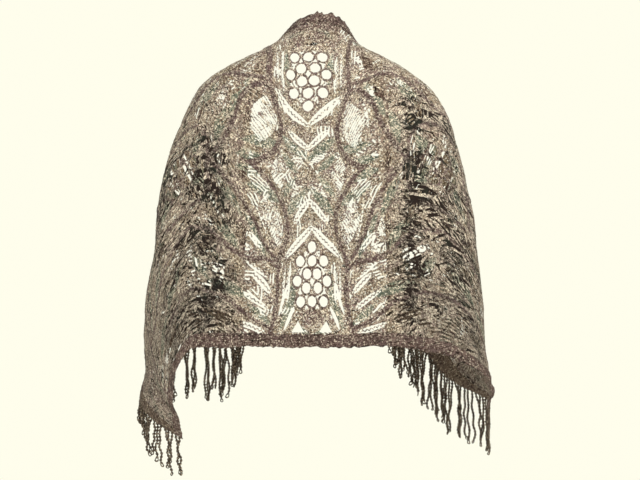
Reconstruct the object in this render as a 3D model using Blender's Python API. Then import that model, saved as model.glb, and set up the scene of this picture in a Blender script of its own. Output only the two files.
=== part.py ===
"""Lace shawl worn over the shoulders: one rectangular stole, its borders and two fringed ends.

Metres, +Z up. The back of the garment faces -Y, its left end is on -X.
The origin is at the nape, on the inner face of the cloth, where the shawl is held up.
"""
import math

import bpy
import numpy as np
from mathutils import Vector
from mathutils.geometry import delaunay_2d_cdt

# The cut: a rectangle, measured along its length from the centre back and down from its neck edge
HALF_LENGTH = 0.650
WIDTH = 0.690
NECK_BORDER = 0.020
HEM_BORDER = 0.026
END_BAND = 0.034
SEAM_GAP = 0.0003
BACK_HALF = 0.236

LACE_WALL = 0.0020
BORDER_WALL = 0.0030

FRINGE_LENGTH = 0.116
# down, share of the length that shows where the left cords are caught up behind the corner
LEFT_CORDS = [
    (0.000, 1.00),
    (0.360, 1.00),
    (0.430, 0.45),
    (0.520, 0.42),
    (0.600, 0.66),
    (0.690, 0.78),
]
FRINGE_STRANDS = 46
ROOT_STRIP = 0.005
ROOT_GAP = 0.0009
CORD_WIDTH = 0.0050

# The empty hollow that the shawl is worn round: level sections of a general adult form
# height, half_width, back_depth, front_depth
HOLLOW = np.array([
    (-0.950, 0.378, 0.136, 0.155),
    (-0.743, 0.3675, 0.135, 0.156),
    (-0.643, 0.359, 0.132, 0.158),
    (-0.441, 0.340, 0.126, 0.160),
    (-0.290, 0.318, 0.130, 0.158),
    (-0.189, 0.292, 0.132, 0.145),
    (-0.139, 0.266, 0.126, 0.132),
    (-0.088, 0.230, 0.113, 0.112),
    (-0.063, 0.196, 0.103, 0.098),
    (-0.038, 0.147, 0.090, 0.085),
    (-0.013, 0.100, 0.078, 0.072),
    (0.015, 0.068, 0.068, 0.062),
    (0.040, 0.056, 0.064, 0.058),
    (0.090, 0.050, 0.062, 0.058),
])
ROUNDNESS = 2.4

# Ribs across the stole, from the neck edge over the shoulder line down to the hem edge
# along, neck_x, neck_z, ridge_z, hem_x, hem_z
BACK_RIBS = [
    (0.000, 0.0000, 0.0490, 0.0490, 0.000, -0.634),
    (0.050, 0.0460, 0.0365, 0.0365, 0.050, -0.635),
    (0.090, 0.0730, 0.0090, 0.0090, 0.090, -0.634),
    (0.130, 0.0950, -0.022, -0.026, 0.130, -0.633),
    (0.180, 0.1190, -0.070, -0.053, 0.180, -0.636),
]
RIGHT_RIBS = [
    (0.240, 0.1380, -0.130, -0.098, 0.236, -0.648),
    (0.280, 0.1440, -0.171, -0.155, 0.271, -0.654),
    (0.320, 0.1470, -0.214, -0.250, 0.300, -0.658),
]
LEFT_RIBS = [
    (0.240, 0.1380, -0.130, -0.096, 0.233, -0.636),
    (0.280, 0.1440, -0.173, -0.150, 0.257, -0.641),
    (0.320, 0.1470, -0.218, -0.240, 0.264, -0.655),
]
# The two short edges as they hang, from the front of the neck edge round to the hem edge
# down, turn in degrees from the side (the front is positive), height
RIGHT_END = [
    (0.000, 67.0, -0.530),
    (0.150, 63.5, -0.572),
    (0.290, 58.0, -0.622),
    (0.430, 48.0, -0.690),
    (0.560, 32.0, -0.738),
    (0.690, 3.0, -0.776),
]
LEFT_END = [
    (0.000, 67.0, -0.590),
    (0.150, 60.0, -0.624),
    (0.300, 44.0, -0.622),
    (0.450, 4.0, -0.722),
    (0.580, -28.0, -0.778),
    (0.690, -47.0, -0.824),
]
FALL_START = 0.280
NECK_TURN = 0.090
# The collar leans to the right above this height, by this share of the rise
LEAN_FROM = -0.015
NECK_LEAN = 0.22
NAPE_DEPTH = 0.0718

GRID_STEP = 0.010
PANEL_STEP = 0.0345
LACE_TOP = NECK_BORDER + SEAM_GAP
LACE_FOOT = WIDTH - HEM_BORDER - 2 * SEAM_GAP
LACE_END = HALF_LENGTH - END_BAND - SEAM_GAP
LACE_SPAN = (LACE_TOP, LACE_FOOT)
LIMITS_ALONG = (-HALF_LENGTH, -LACE_END, -BACK_HALF, BACK_HALF, LACE_END, HALF_LENGTH)
LIMITS_DOWN = (0.0, NECK_BORDER, LACE_FOOT, WIDTH)


def smooth(rows, column, at):
    """Cubic through the named column of a table whose first column is the place."""
    xs = rows[:, 0]
    ys = rows[:, column]
    slopes = np.gradient(ys, xs)
    at = np.asarray(at, dtype=float)
    i = np.clip(np.searchsorted(xs, at) - 1, 0, len(xs) - 2)
    span = xs[i + 1] - xs[i]
    t = (at - xs[i]) / span
    inside = np.clip(t, 0.0, 1.0)
    h00 = (1 + 2 * inside) * (1 - inside) ** 2
    h10 = inside * (1 - inside) ** 2
    h01 = inside ** 2 * (3 - 2 * inside)
    h11 = inside ** 2 * (inside - 1)
    value = h00 * ys[i] + h10 * span * slopes[i] + h01 * ys[i + 1] + h11 * span * slopes[i + 1]
    beyond = np.where(t > 1.0, (t - 1.0) * slopes[i + 1], np.where(t < 0.0, t * slopes[i], 0.0))
    return value + beyond * span


def hollow_turn(x, z, face):
    """How far round the hollow a place is, from the side; face is -1 on the back and +1 on the front."""
    reach = np.clip(np.abs(x) / smooth(HOLLOW, 1, z), 0.0, 1.0)
    return face * np.arccos(reach ** (ROUNDNESS / 2.0))


def hollow_point(turn, z):
    """The place on the hollow's skin at a turn and a height."""
    half_width = smooth(HOLLOW, 1, z)
    depth = np.where(turn < 0, -smooth(HOLLOW, 2, z), smooth(HOLLOW, 3, z))
    x = half_width * np.abs(np.cos(turn)) ** (2.0 / ROUNDNESS)
    y = depth * np.abs(np.sin(turn)) ** (2.0 / ROUNDNESS)
    return np.stack([x, y + NAPE_DEPTH, z], axis=-1)


def rib(place, side):
    """Turns and heights of one rib, spaced evenly along it from neck edge to hem edge."""
    rows = np.array(BACK_RIBS + (RIGHT_RIBS if side > 0 else LEFT_RIBS))
    neck_x, neck_z, ridge_z, hem_x, hem_z = [float(smooth(rows, c, place)) for c in range(1, 6)]
    quarter = np.linspace(0.0, math.pi / 2, 60)
    turns = []
    heights = []
    ridge_x = neck_x
    if place > NECK_TURN:
        ridge_x = float(smooth(HOLLOW, 1, ridge_z))
        share = np.sin(quarter)
        heights.append(neck_z + (ridge_z - neck_z) * share)
        turns.append(hollow_turn(neck_x + (ridge_x - neck_x) * share, heights[-1], 1.0))
    else:
        ridge_z = neck_z
    share = 1.0 - np.cos(quarter)
    heights.append(ridge_z + (hem_z - ridge_z) * share)
    turns.append(hollow_turn(ridge_x + (hem_x - ridge_x) * share, heights[-1], -1.0))
    turns = np.concatenate(turns)
    heights = np.concatenate(heights)
    steps = np.linalg.norm(np.diff(hollow_point(turns, heights), axis=0), axis=1)
    run = np.concatenate([[0.0], np.cumsum(steps)])
    even = DOWN / WIDTH * run[-1]
    return np.stack([np.interp(even, run, turns), np.interp(even, run, heights)])


def fall(place, side):
    """A rib of the hanging part, between the last rib of the back and the short edge."""
    rows = np.array(RIGHT_END if side > 0 else LEFT_END)
    edge = np.stack([np.radians(smooth(rows, 1, DOWN)), smooth(rows, 2, DOWN)])
    start = rib(FALL_START, side)
    span = HALF_LENGTH - FALL_START
    slope = (start - rib(FALL_START - 0.015, side)) / 0.015 * span
    share = max(0.0, (place - FALL_START) / span)
    quicken = np.clip((DOWN / WIDTH - 0.35) / 0.5, 0.0, 1.0)
    return start + slope * share * (1.0 - share) ** 2 + (edge - start) * share ** (1.3 - 0.45 * quicken)


def worn_rib(along):
    """One rib in space."""
    side = 1 if along >= 0 else -1
    place = abs(along)
    turn, height = rib(place, side) if place <= FALL_START else fall(place, side)
    points = hollow_point(turn, height)
    points[:, 0] *= side
    points[:, 0] += NECK_LEAN * np.clip(points[:, 2] - LEAN_FROM, 0.0, None)
    return points


REACH = HALF_LENGTH + 0.02
ALONG = np.linspace(-REACH, REACH, int(round(2 * REACH / GRID_STEP)) + 1)
DOWN = np.linspace(0.0, WIDTH, int(round(WIDTH / GRID_STEP)) + 1)


def soften(cloth, times):
    """Relax the cloth so that no rib starts or turns with a kink."""
    for _ in range(times):
        inner = cloth.copy()
        inner[1:-1] = 0.5 * cloth[1:-1] + 0.25 * (cloth[:-2] + cloth[2:])
        cloth = inner
        inner = cloth.copy()
        inner[:, 1:-1] = 0.5 * cloth[:, 1:-1] + 0.25 * (cloth[:, :-2] + cloth[:, 2:])
        cloth = inner
    return cloth


def outward(cloth):
    """Unit normals that point away from the hollow."""
    along = np.gradient(cloth, axis=0)
    down = np.gradient(cloth, axis=1)
    normal = np.cross(down, along)
    return normal / np.linalg.norm(normal, axis=2, keepdims=True)


def drape():
    """The stole as worn: ribs on the hollow, then soft uneven folds that grow towards the ends."""
    cloth = soften(np.array([worn_rib(u) for u in ALONG]), 3)
    u, v = np.meshgrid(ALONG, DOWN, indexing="ij")
    fall = np.clip((np.abs(u) - 0.27) / 0.38, 0.0, 1.0)
    phase = np.where(u > 0, 0.4, 1.7)
    wave = np.sin(2 * math.pi * (v / 0.163 + 0.22 * np.sin(v * 17.0)) + phase + 3.0 * fall)
    folds = 0.0095 * fall ** 1.3 * wave * (0.45 + 0.55 * np.clip(v / 0.10, 0.0, 1.0))
    front = np.clip(1.0 - v / 0.30, 0.0, 1.0) * np.clip((np.abs(u) - 0.16) / 0.20, 0.0, 1.0)
    folds += 0.0062 * front ** 0.7 * (1.0 - 0.95 * fall) * np.sin(v * 70.0 + phase + 2.0 * fall)
    hem = np.clip((v / WIDTH - 0.55) / 0.45, 0.0, 1.0) ** 2
    folds += 0.0030 * hem * np.sin(u * 37.0 + 1.2 * np.sin(u * 13.0))
    shoulder = np.exp(-((np.abs(u) - 0.27) / 0.08) ** 2) * np.exp(-((v - 0.36) / 0.18) ** 2)
    folds += 0.0035 * shoulder * np.sin(u * 52.0 + 0.8)
    return cloth + outward(cloth) * folds[..., None]


CLOTH = drape()
FACING = soften(outward(CLOTH), 4)


def sample(grid, u, v):
    """Read a grid over the cut between its stations."""
    i = min(max((u + REACH) / (2 * REACH) * (len(ALONG) - 1), 0.0), len(ALONG) - 1.001)
    j = min(max(v / WIDTH * (len(DOWN) - 1), 0.0), len(DOWN) - 1.001)
    i0 = int(i)
    j0 = int(j)
    s = i - i0
    t = j - j0
    near = grid[i0, j0] * (1 - t) + grid[i0, j0 + 1] * t
    far = grid[i0 + 1, j0] * (1 - t) + grid[i0 + 1, j0 + 1] * t
    return near * (1 - s) + far * s


def skin(u, v, rise):
    """A point of the worn cloth, moved out from its middle by rise."""
    facing = sample(FACING, u, v)
    return Vector(sample(CLOTH, u, v) + facing / np.linalg.norm(facing) * rise)


# Lace: bunches of rings, pointed leaf slits and chevrons, mirrored about the middle of the width
MIDDLE = WIDTH / 2
GRAPE_RADIUS = 0.0104
# down, rings, pitch, arch
BUNCH_ROWS = [
    (0.091, 3, 0.030, 0.000),
    (0.117, 2, 0.030, 0.000),
    (0.1445, 4, 0.0255, 0.006),
    (0.172, 3, 0.031, 0.000),
    (0.199, 1, 0.000, 0.000),
]
# off_centre, down, rings, pitch
POSY_ROWS = [
    (-0.027, 2, 0.029),
    (0.000, 3, 0.029),
    (0.027, 2, 0.029),
]
BUNCH_COLUMNS = (-0.554, -0.014, 0.526)
POSY_COLUMNS = (-0.284, 0.256)

# Leaves beside a bunch column: off_centre, down, length, width, lean in degrees from level, slits
BUNCH_LEAVES = [
    (0.041, 0.2080, 0.076, 0.022, -40.0, 2),
    (0.025, 0.2660, 0.050, 0.020, -42.0, 2),
    (0.060, 0.1380, 0.076, 0.020, -80.0, 1),
    (0.096, 0.2360, 0.092, 0.040, 68.0, 3),
    (0.034, 0.3160, 0.046, 0.016, 66.0, 1),
    (0.145, 0.1000, 0.074, 0.026, 26.0, 2),
    (0.145, 0.1480, 0.078, 0.022, 14.0, 2),
    (0.112, 0.3120, 0.056, 0.020, 24.0, 1),
]
# Leaves beside a posy column
POSY_LEAVES = [
    (0.044, 0.2450, 0.076, 0.030, 58.0, 2),
    (0.030, 0.1350, 0.066, 0.024, 74.0, 2),
]
WEDGE = ((-0.013, 0.032), (0.013, 0.032), (0.0, 0.053))
WEDGE_OFF_CENTRE = 0.029
# The work by the hem is drawn in towards its bunches, and the work by the neck lies a little lower
HEM_SQUEEZE = 0.30
HEM_SHIFT = 0.0085
HEM_FADE = (0.020, 0.100)
NECK_DROP = 0.010
DROP_FADE = 0.095
SLIT_WIDTH = 0.0072
BRIDGE = 0.0035


def ring_hole(u, v):
    """Outline of one ring's hole."""
    corners = 8
    turns = [2 * math.pi * (k + 0.5) / corners for k in range(corners)]
    return [(u + GRAPE_RADIUS * math.cos(a), v + GRAPE_RADIUS * math.sin(a)) for a in turns]


def leaf_holes(u, v, length, width, lean, slits):
    """Outlines of the pointed slits that lie side by side in one leaf."""
    angle = math.radians(lean)
    along = (math.cos(angle), math.sin(angle))
    across = (-along[1], along[0])
    holes = []
    for k in range(slits):
        offset = (k - (slits - 1) / 2) * width / max(1, slits - 1)
        reach = length * (1.0 - 0.45 * abs(offset) / width)
        marks = ((-0.5 * reach, 0.0), (-0.1 * reach, -0.5), (0.5 * reach, 0.0), (0.1 * reach, 0.5))
        holes.append([
            (u + a * along[0] + (offset + b * SLIT_WIDTH) * across[0],
             v + a * along[1] + (offset + b * SLIT_WIDTH) * across[1])
            for a, b in marks
        ])
    return holes


def hem_place(u, down):
    """Where a place drawn as for the neck lies by the hem, drawn in towards the nearest bunch."""
    column = min(BUNCH_COLUMNS, key=lambda centre: abs(u - centre))
    share = max(0.0, min(1.0, (MIDDLE - down - HEM_FADE[0]) / HEM_FADE[1]))
    half_pitch = (BUNCH_COLUMNS[1] - BUNCH_COLUMNS[0]) / 2
    off = u - column
    for _ in range(8):
        off = (u - column) / (1.0 + HEM_SQUEEZE * share * (1.0 - (off / half_pitch) ** 2))
    return (column + HEM_SHIFT * share + off, WIDTH - down)


def mirrored(column, half, side, outline):
    """An outline beside the centre back, moved to a column and mirrored across it or the middle."""
    if half > 0:
        return [(column + side * u, v + NECK_DROP * min(1.0, (MIDDLE - v) / DROP_FADE)) for u, v in outline]
    return [hem_place(column + side * u, v) for u, v in outline]


def lace_holes():
    """Every gap that is cut through the lace, in the flat cut."""
    wanted = []
    for column in BUNCH_COLUMNS:
        for half in (1, -1):
            for down, rings, pitch, arch in BUNCH_ROWS:
                for k in range(rings):
                    step = k - (rings - 1) / 2
                    lift = arch * max(0.0, abs(step) - 0.5) * 2
                    wanted.append(mirrored(column, half, 1, ring_hole(step * pitch, down - lift)))
    for column in POSY_COLUMNS:
        for rise, rings, pitch in POSY_ROWS:
            for k in range(rings):
                wanted.append(ring_hole(column + (k - (rings - 1) / 2) * pitch, MIDDLE + rise))
    wedge = [(WEDGE_OFF_CENTRE + a, b) for a, b in WEDGE]
    for side in (1, -1):
        for column in BUNCH_COLUMNS:
            wanted.append(mirrored(column, -1, side, wedge))
    for half in (1, -1):
        for side in (1, -1):
            for column in BUNCH_COLUMNS:
                for leaf in BUNCH_LEAVES:
                    wanted += [mirrored(column, half, side, slit) for slit in leaf_holes(*leaf)]
            for column in POSY_COLUMNS:
                for leaf in POSY_LEAVES:
                    wanted += [mirrored(column, half, side, slit) for slit in leaf_holes(*leaf)]
    holes = []
    for outline in wanted:
        if all(clear_of(other, point, BRIDGE) for other in holes for point in outline):
            if all(clear_of(outline, point, BRIDGE) for other in holes for point in other):
                holes.append(outline)
    return holes


def stations(low, high, limits):
    """Stations of one panel: those shared by the whole cut, and the panel's own two ends."""
    marks = [low, high] + [mark for mark in limits if low + 0.001 < mark < high - 0.001]
    for k in range(math.ceil(low / PANEL_STEP), math.floor(high / PANEL_STEP) + 1):
        if all(abs(k * PANEL_STEP - mark) > 0.3 * PANEL_STEP for mark in limits):
            marks.append(k * PANEL_STEP)
    return sorted(marks)


def inside(outline, point):
    """True where a flat point lies within an outline."""
    odd = False
    for (ax, ay), (bx, by) in zip(outline, outline[1:] + outline[:1]):
        if (ay > point[1]) != (by > point[1]):
            if point[0] < ax + (point[1] - ay) * (bx - ax) / (by - ay):
                odd = not odd
    return odd


def clear_of(outline, point, room):
    """True where a flat point keeps its room from an outline."""
    for (ax, ay), (bx, by) in zip(outline, outline[1:] + outline[:1]):
        span = (bx - ax, by - ay)
        reach = max(0.0, min(1.0, ((point[0] - ax) * span[0] + (point[1] - ay) * span[1])
                             / (span[0] ** 2 + span[1] ** 2)))
        if math.hypot(ax + reach * span[0] - point[0], ay + reach * span[1] - point[1]) < room:
            return False
    return not inside(outline, point)


def wall(name, points, faces, material):
    """One closed body from its corners and faces."""
    mesh = bpy.data.meshes.new(name)
    mesh.from_pydata(points, [], faces)
    mesh.materials.append(material)
    thing = bpy.data.objects.new(name, mesh)
    shawl.objects.link(thing)
    return thing


def panel(name, along, down, thickness, holes, material):
    """A stretch of the cut between two stations each way, laid on the worn shape as a thin wall."""
    us = stations(along[0], along[1], LIMITS_ALONG)
    vs = stations(down[0], down[1], LIMITS_DOWN)
    rim = [(u, vs[0]) for u in us] + [(us[-1], v) for v in vs[1:]]
    rim += [(u, vs[-1]) for u in us[-2::-1]] + [(us[0], v) for v in vs[-2:0:-1]]
    loops = [rim]
    for outline in holes:
        if all(along[0] + 0.003 < u < along[1] - 0.003 and down[0] + 0.002 < v < down[1] - 0.002
               for u, v in outline):
            loops.append(outline)
    flat = [point for loop in loops for point in loop]
    edges = []
    start = 0
    for loop in loops:
        count = len(loop)
        edges += [(start + k, start + (k + 1) % count) for k in range(count)]
        start += count
    for u in us[1:-1]:
        for v in vs[1:-1]:
            if all(clear_of(outline, (u, v), 0.008) for outline in loops[1:]):
                flat.append((u, v))
    scaled = [Vector((u * 100, v * 100)) for u, v in flat]
    corners, _, triangles, _, _, _ = delaunay_2d_cdt(scaled, edges, [], 1, 1e-5)
    corners = [(c.x / 100, c.y / 100) for c in corners]
    kept = []
    for a, b, c in triangles:
        middle = tuple((corners[a][k] + corners[b][k] + corners[c][k]) / 3 for k in (0, 1))
        if not any(inside(outline, middle) for outline in loops[1:]):
            kept.append((a, b, c))
    used = sorted({k for face in kept for k in face})
    index = {k: n for n, k in enumerate(used)}
    count = len(used)
    points = [skin(*corners[k], thickness / 2) for k in used]
    points += [skin(*corners[k], -thickness / 2) for k in used]
    faces = []
    directed = set()
    for face in kept:
        a, b, c = [index[k] for k in face]
        faces.append((c, b, a))
        faces.append((a + count, b + count, c + count))
        directed.update([(a, b), (b, c), (c, a)])
    for a, b in directed:
        if (b, a) not in directed:
            rising = corners[used[a]] < corners[used[b]]
            faces.append((a, b, b + count) if rising else (a, b, a + count))
            faces.append((a, b + count, a + count) if rising else (b, b + count, a + count))
    return wall(name, points, faces, material)


def edge_point(u, v, rise):
    """A point beside a short edge, on the straight runs between the panel's own stations."""
    marks = stations(0.0, WIDTH, LIMITS_DOWN)
    k = max(n for n in range(len(marks) - 1) if marks[n] <= v)
    share = (v - marks[k]) / (marks[k + 1] - marks[k])
    return skin(u, marks[k], rise).lerp(skin(u, marks[k + 1], rise), share)


def fringe(name, side, material):
    """Cords that hang from a narrow strip beside one short edge of the stole."""
    near = side * (HALF_LENGTH + ROOT_GAP)
    far = side * (HALF_LENGTH + ROOT_GAP + ROOT_STRIP)
    pitch = (WIDTH - 0.006) / FRINGE_STRANDS
    marks = []
    for k in range(FRINGE_STRANDS):
        middle = 0.003 + (k + 0.5) * pitch
        marks += [middle - CORD_WIDTH * 0.6, middle + CORD_WIDTH * 0.6]
    half = BORDER_WALL / 2
    points = []
    for v in marks:
        points += [edge_point(near, v, half), edge_point(near, v, -half)]
        points += [edge_point(far, v, -half), edge_point(far, v, half)]
    faces = [(3, 2, 1, 0)]
    last = 4 * (len(marks) - 1)
    faces.append((last, last + 1, last + 2, last + 3))
    for n in range(len(marks) - 1):
        a = 4 * n
        b = a + 4
        for k, m in ((0, 1), (1, 2), (3, 0)):
            faces.append((a + k, a + m, b + m))
            faces.append((a + k, b + m, b + k))
        if n % 2 == 1:
            faces.append((a + 2, a + 3, b + 3))
            faces.append((a + 2, b + 3, b + 2))
            continue
        root = (a + 2, a + 3, b + 3, b + 2)
        corner = [points[k] for k in root]
        centre = (corner[0] + corner[1] + corner[2] + corner[3]) / 4
        run = (corner[2] + corner[3] - corner[0] - corner[1]).normalized()
        run.z = 0.0
        run.normalize()
        lean = Vector((-run.y, run.x, 0.0))
        if lean.dot(corner[1] - corner[0]) < 0:
            lean.negate()
        k = n // 2
        length = FRINGE_LENGTH * (1.0 + 0.05 * math.sin(k * 2.3) + 0.03 * math.sin(k * 5.1))
        if side < 0:
            length *= float(smooth(np.array(LEFT_CORDS), 1, marks[n]))
        sway = 0.0012 * math.sin(k * 1.7)
        ring = root
        for drop, size, drift in ((0.30, 1.0, 0.6), (1.0, 0.8, 1.0)):
            middle = centre - Vector((0.0, 0.0, drop * length)) + lean * sway * drift
            reach = CORD_WIDTH / 2 * size
            first = len(points)
            points.append(middle - run * reach - lean * reach)
            points.append(middle - run * reach + lean * reach)
            points.append(middle + run * reach + lean * reach)
            points.append(middle + run * reach - lean * reach)
            new = (first, first + 1, first + 2, first + 3)
            for p in range(4):
                q = (p + 1) % 4
                faces.append((ring[p], ring[q], new[q]))
                faces.append((ring[p], new[q], new[p]))
            ring = new
        faces.append((ring[0], ring[1], ring[2], ring[3]))
    if side < 0:
        faces = [tuple(reversed(face)) for face in faces]
    return wall(name, points, faces, material)


def cloth_material(name, colour, roughness):
    """Plain fabric colour for one node."""
    material = bpy.data.materials.new(name)
    material.use_nodes = True
    shader = material.node_tree.nodes["Principled BSDF"]
    shader.inputs["Base Color"].default_value = (*colour, 1.0)
    shader.inputs["Roughness"].default_value = roughness
    material.diffuse_color = (*colour, 1.0)
    return material


for thing in list(bpy.data.objects):
    bpy.data.objects.remove(thing)
shawl = bpy.data.collections.new("lace_shawl")
bpy.context.scene.collection.children.link(shawl)

LACE_TONE = (0.262, 0.205, 0.153)
BORDER_TONE = (0.130, 0.092, 0.068)
BAND_TONE = (0.170, 0.118, 0.086)
FRINGE_TONE = (0.095, 0.070, 0.050)

HOLES = lace_holes()

# The lace, one node for each stretch that shows
panel("lace_back", (-BACK_HALF, BACK_HALF), LACE_SPAN, LACE_WALL, HOLES,
      cloth_material("lace_back", LACE_TONE, 0.9))
panel("lace_left_fall", (-LACE_END, -BACK_HALF - SEAM_GAP), LACE_SPAN, LACE_WALL, HOLES,
      cloth_material("lace_left_fall", LACE_TONE, 0.9))
panel("lace_right_fall", (BACK_HALF + SEAM_GAP, LACE_END), LACE_SPAN, LACE_WALL, HOLES,
      cloth_material("lace_right_fall", LACE_TONE, 0.9))

# Dense borders along both long edges, and the plain bands at the ends
panel("neck_border", (-HALF_LENGTH, HALF_LENGTH), (0.0, NECK_BORDER), BORDER_WALL, [],
      cloth_material("neck_border", BORDER_TONE, 0.95))
panel("hem_border", (-HALF_LENGTH, HALF_LENGTH), (WIDTH - HEM_BORDER, WIDTH), BORDER_WALL, [],
      cloth_material("hem_border", BORDER_TONE, 0.95))
panel("left_end_band", (-HALF_LENGTH, LACE_END * -1 - SEAM_GAP), LACE_SPAN, BORDER_WALL, [],
      cloth_material("left_end_band", BAND_TONE, 0.95))
panel("right_end_band", (LACE_END + SEAM_GAP, HALF_LENGTH), LACE_SPAN, BORDER_WALL, [],
      cloth_material("right_end_band", BAND_TONE, 0.95))

# Fringe
fringe("left_fringe", -1, cloth_material("left_fringe", FRINGE_TONE, 0.95))
fringe("right_fringe", 1, cloth_material("right_fringe", FRINGE_TONE, 0.95))
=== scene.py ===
"""Lace shawl as worn: openwork lace, looped-yarn borders, plain end bands and corded fringe.

Metres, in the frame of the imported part: the nape is the origin and the back of the shawl faces -Y.
"""

import math

import bpy
import numpy as np
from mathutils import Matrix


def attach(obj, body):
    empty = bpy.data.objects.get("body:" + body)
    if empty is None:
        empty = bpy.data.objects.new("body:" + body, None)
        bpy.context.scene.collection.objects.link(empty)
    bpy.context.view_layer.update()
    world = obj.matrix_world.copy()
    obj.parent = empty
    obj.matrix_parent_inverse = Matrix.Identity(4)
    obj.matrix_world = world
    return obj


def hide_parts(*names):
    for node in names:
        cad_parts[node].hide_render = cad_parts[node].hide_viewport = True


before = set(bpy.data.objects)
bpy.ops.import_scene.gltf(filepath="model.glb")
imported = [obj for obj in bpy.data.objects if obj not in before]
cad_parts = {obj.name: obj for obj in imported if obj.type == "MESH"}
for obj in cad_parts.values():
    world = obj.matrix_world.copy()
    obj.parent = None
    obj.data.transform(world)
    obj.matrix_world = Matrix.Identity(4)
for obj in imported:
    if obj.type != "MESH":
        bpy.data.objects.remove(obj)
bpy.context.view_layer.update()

# The lace. One stole of openwork in fuzzy looped yarn, with bunches of rings, pointed leaves and
# curved stems, each leaf worked in its own direction. It is worn round an empty hollow with sloping
# shoulders and falls straight down at both sides, and is made in three stretches, as the solids are.
HALF_LENGTH = 0.650
WIDTH = 0.690
NECK_BORDER = 0.020
HEM_BORDER = 0.026
END_BAND = 0.034
LACE_WIDTH = 0.650
BACK_HALF = 0.236
NAPE_DEPTH = 0.0718
ROUNDNESS = 2.4

# height, half_width, back_depth, front_depth
HOLLOW = np.array([
    (-0.950, 0.378, 0.136, 0.155),
    (-0.743, 0.3675, 0.135, 0.156),
    (-0.643, 0.359, 0.132, 0.158),
    (-0.441, 0.340, 0.126, 0.160),
    (-0.290, 0.318, 0.130, 0.158),
    (-0.189, 0.292, 0.132, 0.145),
    (-0.139, 0.266, 0.126, 0.132),
    (-0.088, 0.230, 0.113, 0.112),
    (-0.063, 0.196, 0.103, 0.098),
    (-0.038, 0.147, 0.090, 0.085),
    (-0.013, 0.100, 0.078, 0.072),
    (0.015, 0.068, 0.068, 0.062),
    (0.040, 0.056, 0.064, 0.058),
    (0.090, 0.050, 0.062, 0.058),
])
# along, neck_x, neck_z, ridge_z, hem_x, hem_z
BACK_RIBS = [
    (0.000, 0.0000, 0.0490, 0.0490, 0.000, -0.634),
    (0.050, 0.0460, 0.0365, 0.0365, 0.050, -0.635),
    (0.090, 0.0730, 0.0090, 0.0090, 0.090, -0.634),
    (0.130, 0.0950, -0.022, -0.026, 0.130, -0.633),
    (0.180, 0.1190, -0.070, -0.053, 0.180, -0.636),
]
RIGHT_RIBS = [
    (0.240, 0.1380, -0.130, -0.098, 0.236, -0.648),
    (0.280, 0.1440, -0.171, -0.155, 0.271, -0.654),
    (0.320, 0.1470, -0.214, -0.250, 0.300, -0.658),
]
LEFT_RIBS = [
    (0.240, 0.1380, -0.130, -0.096, 0.233, -0.636),
    (0.280, 0.1440, -0.173, -0.150, 0.257, -0.641),
    (0.320, 0.1470, -0.218, -0.240, 0.264, -0.655),
]
# down, turn in degrees from the side, height
RIGHT_END = [
    (0.000, 67.0, -0.530),
    (0.150, 63.5, -0.572),
    (0.290, 58.0, -0.622),
    (0.430, 48.0, -0.690),
    (0.560, 32.0, -0.738),
    (0.690, 3.0, -0.776),
]
LEFT_END = [
    (0.000, 67.0, -0.590),
    (0.150, 60.0, -0.624),
    (0.300, 44.0, -0.622),
    (0.450, 4.0, -0.722),
    (0.580, -28.0, -0.778),
    (0.690, -47.0, -0.824),
]
FALL_START = 0.280
NECK_TURN = 0.090
# The collar leans to the right above this height, by this share of the rise
LEAN_FROM = -0.015
NECK_LEAN = 0.22
# depth and pitch of the falls' long folds; depth of the front's gathers and of the hem and shoulder waves
FOLD_DEPTH = 0.0095
FOLD_PITCH = 0.163
GATHER_DEPTH = 0.0062
HEM_WAVE = 0.0030
SHOULDER_WAVE = 0.0035
# The ribs are worked out every centimetre, a little past both short ends
REACH = HALF_LENGTH + 0.02
ALONG = np.linspace(-REACH, REACH, int(round(2 * REACH / 0.010)) + 1)
DOWN = np.linspace(0.0, WIDTH, int(round(WIDTH / 0.010)) + 1)


def smooth(rows, column, at):
    """Cubic through one column of a table whose first column is the place."""
    xs = rows[:, 0]
    ys = rows[:, column]
    slopes = np.gradient(ys, xs)
    at = np.asarray(at, dtype=float)
    i = np.clip(np.searchsorted(xs, at) - 1, 0, len(xs) - 2)
    span = xs[i + 1] - xs[i]
    t = (at - xs[i]) / span
    inside = np.clip(t, 0.0, 1.0)
    h00 = (1 + 2 * inside) * (1 - inside) ** 2
    h10 = inside * (1 - inside) ** 2
    h01 = inside ** 2 * (3 - 2 * inside)
    h11 = inside ** 2 * (inside - 1)
    value = h00 * ys[i] + h10 * span * slopes[i] + h01 * ys[i + 1] + h11 * span * slopes[i + 1]
    beyond = np.where(t > 1.0, (t - 1.0) * slopes[i + 1], np.where(t < 0.0, t * slopes[i], 0.0))
    return value + beyond * span


def hollow_turn(x, z, face):
    """How far round the hollow a place is, from the side; face is -1 on the back and +1 on the front."""
    reach = np.clip(np.abs(x) / smooth(HOLLOW, 1, z), 0.0, 1.0)
    return face * np.arccos(reach ** (ROUNDNESS / 2.0))


def hollow_point(turn, z):
    """The place on the hollow's skin at a turn and a height."""
    half_width = smooth(HOLLOW, 1, z)
    hollow_shade_share = np.where(turn < 0, -smooth(HOLLOW, 2, z), smooth(HOLLOW, 3, z))
    x = half_width * np.abs(np.cos(turn)) ** (2.0 / ROUNDNESS)
    y = hollow_shade_share * np.abs(np.sin(turn)) ** (2.0 / ROUNDNESS)
    return np.stack([x, y + NAPE_DEPTH, z], axis=-1)


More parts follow.
